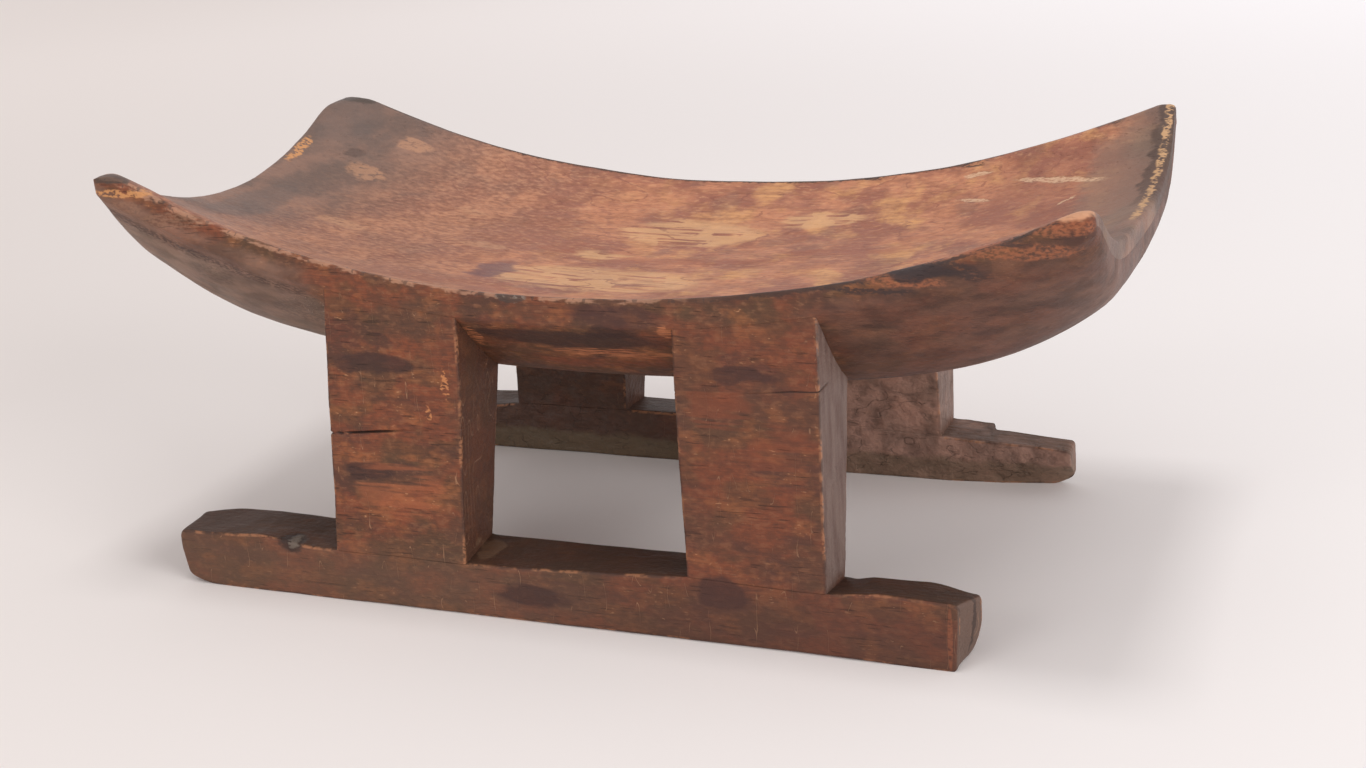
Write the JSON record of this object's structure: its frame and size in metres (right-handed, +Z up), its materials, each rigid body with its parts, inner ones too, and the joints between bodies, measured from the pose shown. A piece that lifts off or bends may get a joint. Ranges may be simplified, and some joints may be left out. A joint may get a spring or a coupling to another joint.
{
  "type": "ashanti stool",
  "caption": "Low carved wooden stool with a dished, upswept seat on two side frames of posts and floor runners.",
  "frame": {"origin": "on the floor, under the middle of the stool's length and depth", "axes": "+Z up, +X along the stool towards the short toes, -Y the front frame"},
  "size_m": [0.38, 0.188, 0.1634],
  "materials": {
    "seat_wood": "worn, dark red-brown stain rubbed back to honey tan, satin",
    "frame_wood": "hand-hewn, mottled dark red-brown stain, satin"
  },
  "bodies": {
    "root": {"seat": "seat_wood", "front_left_post": "frame_wood", "front_right_post": "frame_wood", "front_runner": "frame_wood", "rear_left_post": "frame_wood", "rear_right_post": "frame_wood", "rear_runner": "frame_wood"}
  },
  "joints": []
}
